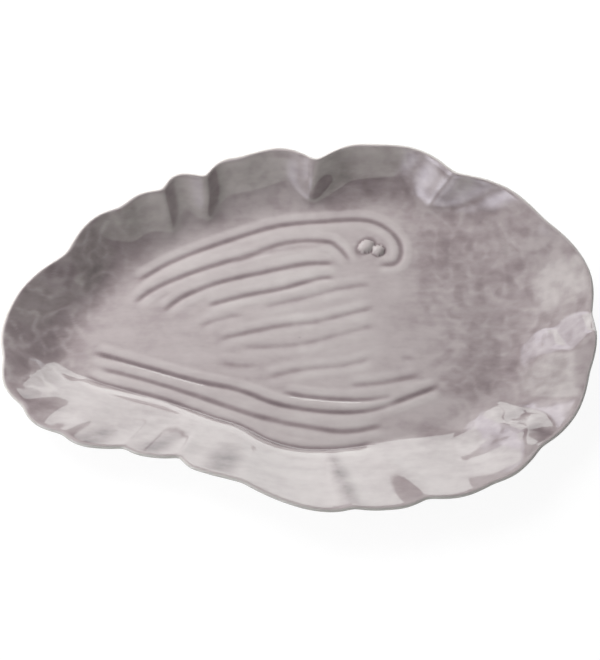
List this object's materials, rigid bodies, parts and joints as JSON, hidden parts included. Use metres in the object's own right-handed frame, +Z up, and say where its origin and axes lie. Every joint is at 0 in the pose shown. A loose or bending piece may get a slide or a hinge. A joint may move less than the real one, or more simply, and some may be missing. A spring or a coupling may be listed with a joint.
{
  "type": "oyster shell shaped serving platter",
  "caption": "Long oyster shell shaped serving platter in mauve-grey glazed earthenware, with a ruffled rim, growth lines and two small pearls in the floor, and a foot ring.",
  "frame": {"origin": "ground level under the middle of the platter's outline", "axes": "+Z up, +X along the platter towards its broad end, +Y towards its steeper long side"},
  "size_m": [0.4254, 0.286, 0.0438],
  "materials": {
    "glaze": "glossy"
  },
  "bodies": {
    "root": {"platter": "glaze"}
  },
  "joints": []
}
